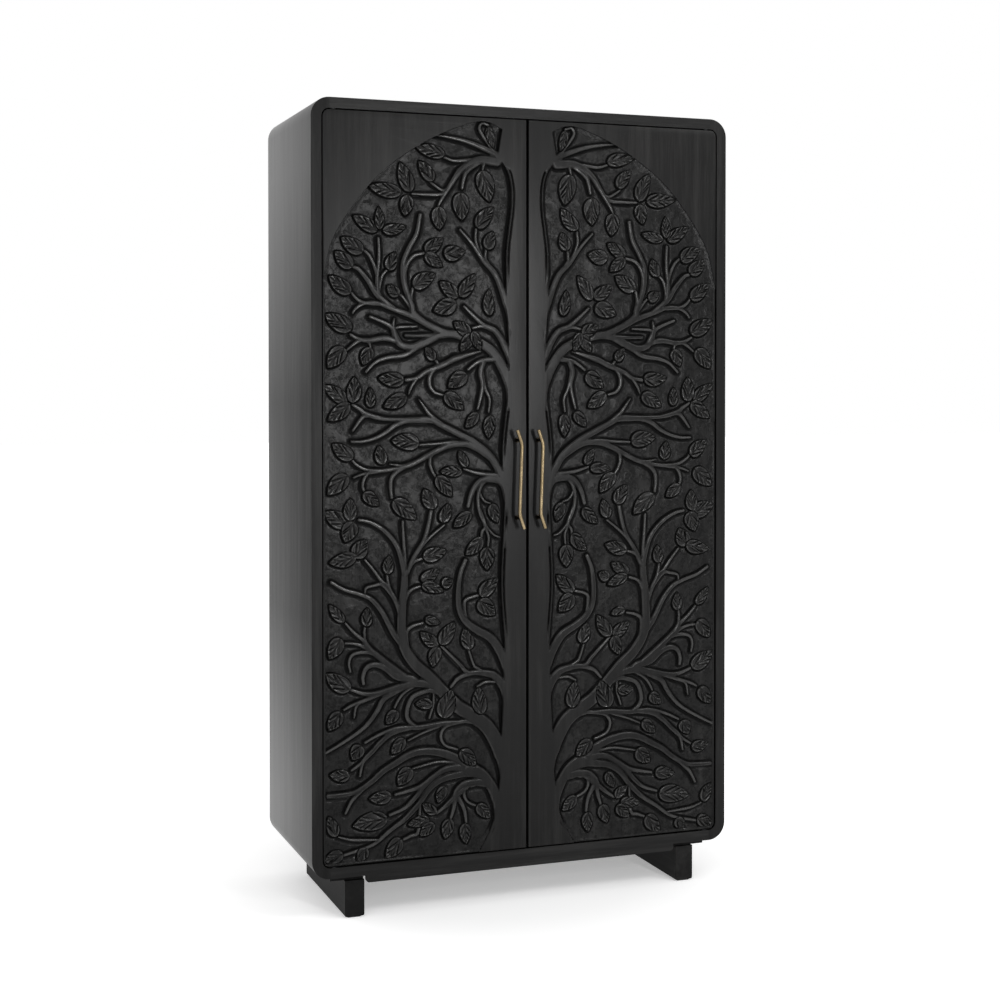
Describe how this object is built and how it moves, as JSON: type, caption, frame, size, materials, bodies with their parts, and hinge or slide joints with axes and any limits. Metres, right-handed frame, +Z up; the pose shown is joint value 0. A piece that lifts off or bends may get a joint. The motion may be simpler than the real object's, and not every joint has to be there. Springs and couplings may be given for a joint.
{
  "type": "bar armoire",
  "caption": "Tall rounded bar armoire on plank legs: carved doors on concealed pivots, slim pulls, serving counter, stemware rails, shelves and bottle cradles inside.",
  "frame": {"origin": "on the floor, in the middle of the whole armoire, pulls included", "axes": "+Z up, the doors face -Y, +X to the right seen from the front"},
  "size_m": [1.064, 0.4748, 1.905],
  "materials": {
    "black_stained_wood": "satin black stain",
    "inner_stained_wood": "matte black stain",
    "plain_wood": "unstained",
    "aged_brass": "aged satin",
    "zinc_steel": "zinc plated",
    "blackened_steel": "black oxide",
    "catch_plastic": "moulded",
    "ferrite": "sintered",
    "felt": "felt"
  },
  "bodies": {
    "carcass": {"apron_screws": "zinc_steel", "back_panel_screws": "zinc_steel", "bottle_cradles": "inner_stained_wood", "bottom_left_corner": "black_stained_wood", "bottom_panel": "black_stained_wood", "bottom_right_corner": "black_stained_wood", "catch_housings": "catch_plastic", "catch_magnets": "ferrite", "catch_screws": "zinc_steel", "corner_splines": "plain_wood", "foot_pads": "felt", "front_apron": "black_stained_wood", "left_leg": "black_stained_wood", "left_leg_plate": "black_stained_wood", "left_pivot_bushes": "blackened_steel", "left_side_panel": "black_stained_wood", "leg_bolts": "zinc_steel", "leg_plate_screws": "zinc_steel", "lower_back_panel": "inner_stained_wood", "lower_partition": "inner_stained_wood", "lower_shelf": "inner_stained_wood", "neck_cradles": "inner_stained_wood", "right_leg": "black_stained_wood", "right_leg_plate": "black_stained_wood", "right_pivot_bushes": "blackened_steel", "right_side_panel": "black_stained_wood", "serving_counter": "inner_stained_wood", "shelf_pins": "zinc_steel", "stemware_rail_screws": "zinc_steel", "stemware_rails": "inner_stained_wood", "top_left_corner": "black_stained_wood", "top_panel": "black_stained_wood", "top_right_corner": "black_stained_wood", "upper_back_panel": "inner_stained_wood", "upper_shelf": "inner_stained_wood", "wall_fixing_rail": "inner_stained_wood"},
    "left_leaf": {"left_door": "black_stained_wood", "left_hinge_plates": "blackened_steel", "left_hinge_screws": "blackened_steel", "left_pull": "aged_brass", "left_pull_screws": "zinc_steel", "left_strike_plate": "zinc_steel", "left_strike_screws": "zinc_steel"},
    "right_leaf": {"right_door": "black_stained_wood", "right_hinge_plates": "blackened_steel", "right_hinge_screws": "blackened_steel", "right_pull": "aged_brass", "right_pull_screws": "zinc_steel", "right_strike_plate": "zinc_steel", "right_strike_screws": "zinc_steel"}
  },
  "joints": [
    {"name": "left_door_hinge", "type": "hinge", "parent": "carcass", "child": "left_leaf", "pos_m": [-0.4785, -0.19762, 0.1275], "axis": [0, 0, -1], "range_deg": [0, 110]},
    {"name": "right_door_hinge", "type": "hinge", "parent": "carcass", "child": "right_leaf", "pos_m": [0.4785, -0.19762, 0.1275], "axis": [0, 0, 1], "range_deg": [0, 110]}
  ]
}
